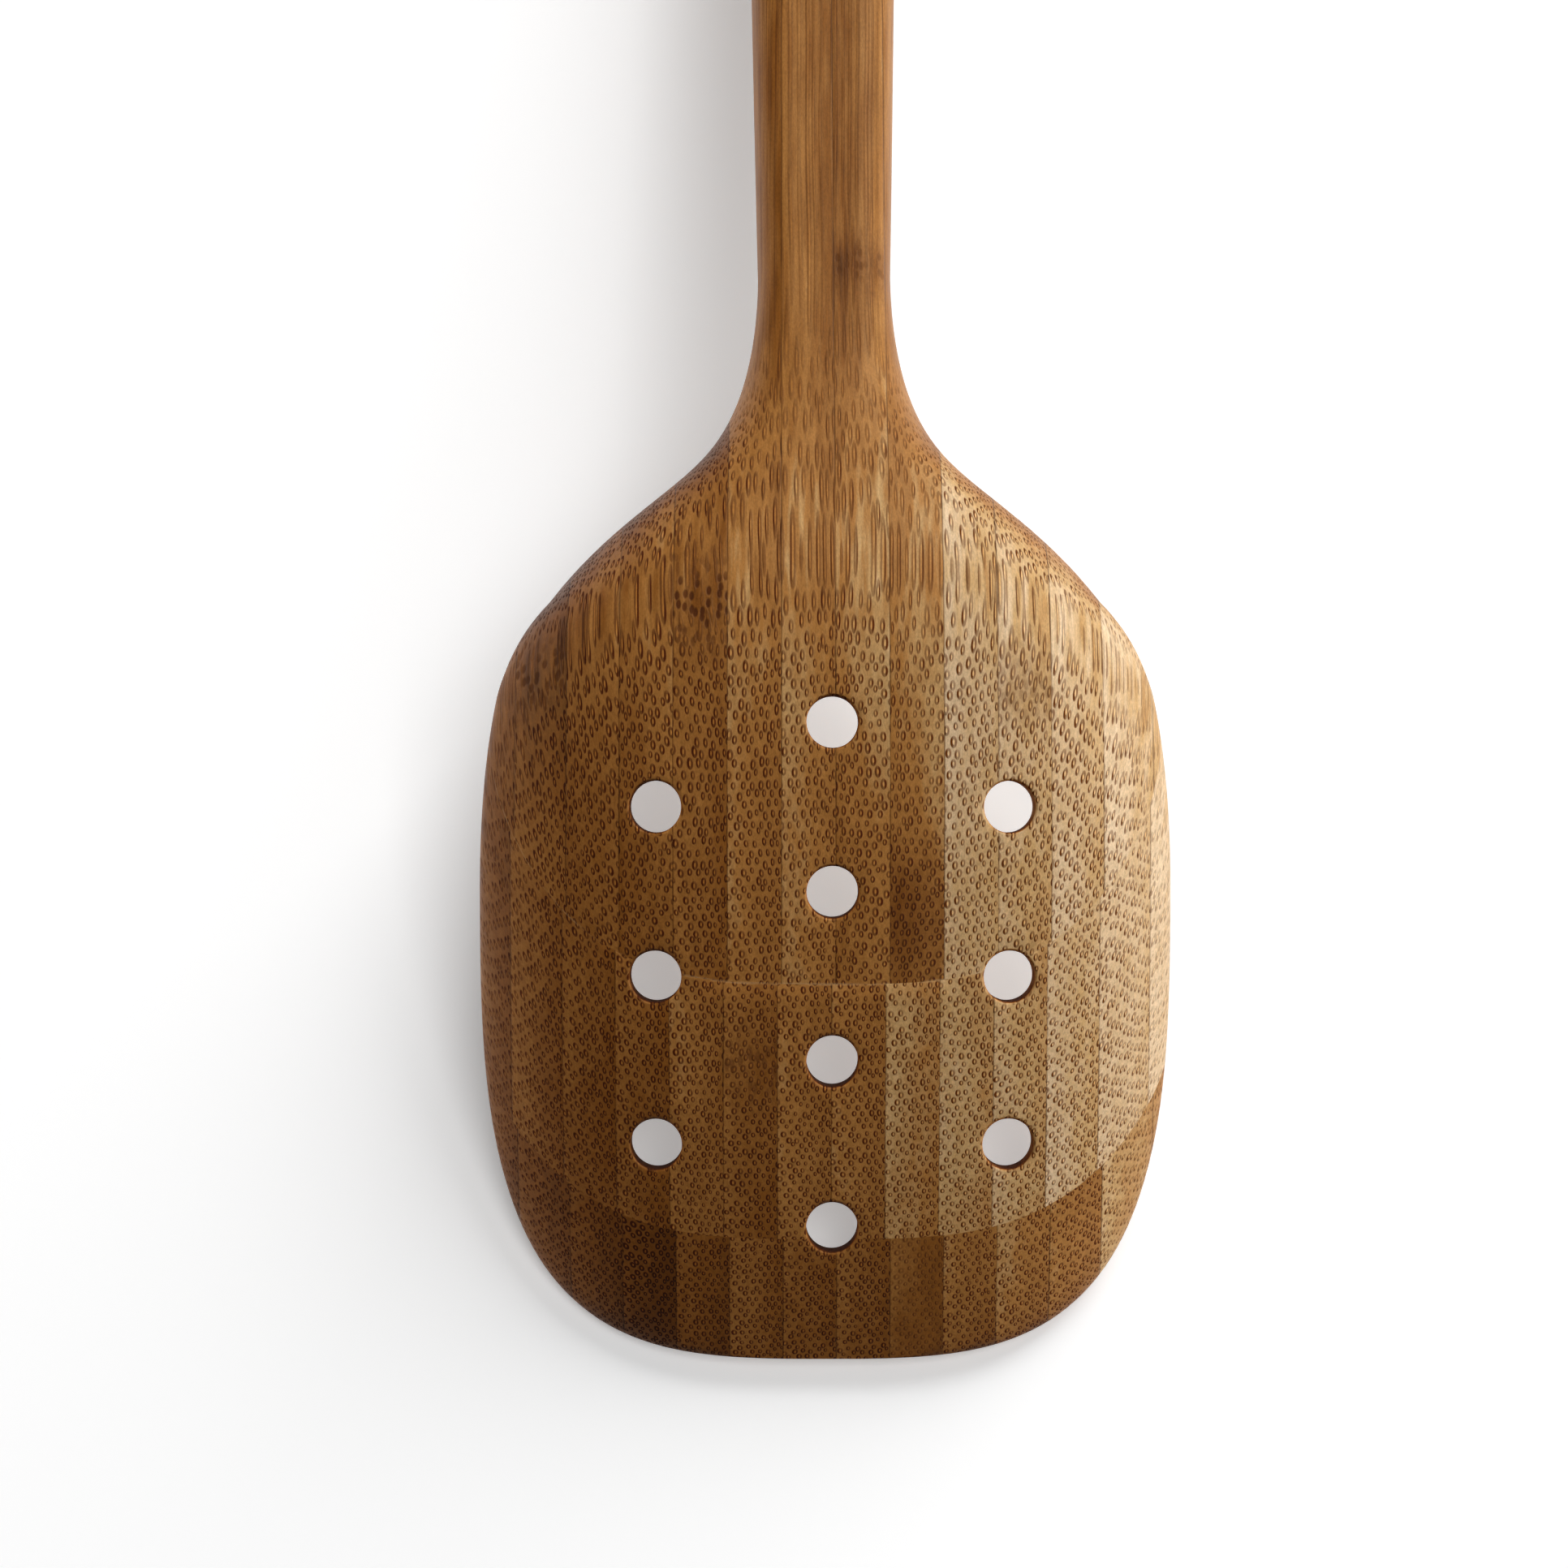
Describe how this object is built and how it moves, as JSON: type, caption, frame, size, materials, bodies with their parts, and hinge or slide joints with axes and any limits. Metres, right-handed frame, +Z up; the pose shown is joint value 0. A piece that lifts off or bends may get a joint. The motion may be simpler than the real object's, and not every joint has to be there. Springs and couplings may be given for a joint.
{
  "type": "slotted spoon",
  "caption": "Carved bamboo draining spoon: an angled bowl-shaped head with drilled drain holes on a slim rounded handle, glued up from narrow strips in plies.",
  "frame": {"origin": "middle of the spoon's footprint on the table it lies on, back up", "axes": "+Y along the spoon from the tip to the handle end, +Z up from the table to the back of the head, +X to the right seen from above with the handle away"},
  "size_m": [0.068, 0.2996, 0.0346],
  "materials": {
    "bamboo_back_ply": "sanded and oiled bamboo strips, satin, grain along the handle",
    "bamboo_middle_ply": "sanded and oiled bamboo strips, satin, grain along the handle",
    "bamboo_front_ply": "sanded and oiled bamboo strips, satin, grain along the handle"
  },
  "bodies": {
    "root": {"back_ply_left_1": "bamboo_back_ply", "back_ply_left_2": "bamboo_back_ply", "back_ply_left_3": "bamboo_back_ply", "back_ply_left_4": "bamboo_back_ply", "back_ply_left_5": "bamboo_back_ply", "back_ply_left_6": "bamboo_back_ply", "back_ply_left_7": "bamboo_back_ply", "back_ply_right_1": "bamboo_back_ply", "back_ply_right_2": "bamboo_back_ply", "back_ply_right_3": "bamboo_back_ply", "back_ply_right_4": "bamboo_back_ply", "back_ply_right_5": "bamboo_back_ply", "back_ply_right_6": "bamboo_back_ply", "middle_ply_left_1": "bamboo_middle_ply", "middle_ply_left_2": "bamboo_middle_ply", "middle_ply_left_3": "bamboo_middle_ply", "middle_ply_left_4": "bamboo_middle_ply", "middle_ply_left_5": "bamboo_middle_ply", "middle_ply_left_6": "bamboo_middle_ply", "middle_ply_left_7": "bamboo_middle_ply", "middle_ply_right_1": "bamboo_middle_ply", "middle_ply_right_2": "bamboo_middle_ply", "middle_ply_right_3": "bamboo_middle_ply", "middle_ply_right_4": "bamboo_middle_ply", "middle_ply_right_5": "bamboo_middle_ply", "middle_ply_right_6": "bamboo_middle_ply", "middle_ply_right_7": "bamboo_middle_ply", "front_ply_left_1": "bamboo_front_ply", "front_ply_left_2": "bamboo_front_ply", "front_ply_left_3": "bamboo_front_ply", "front_ply_left_4": "bamboo_front_ply", "front_ply_left_5": "bamboo_front_ply", "front_ply_left_6": "bamboo_front_ply", "front_ply_left_7": "bamboo_front_ply", "front_ply_right_1": "bamboo_front_ply", "front_ply_right_2": "bamboo_front_ply", "front_ply_right_3": "bamboo_front_ply", "front_ply_right_4": "bamboo_front_ply", "front_ply_right_5": "bamboo_front_ply", "front_ply_right_6": "bamboo_front_ply"}
  },
  "joints": []
}
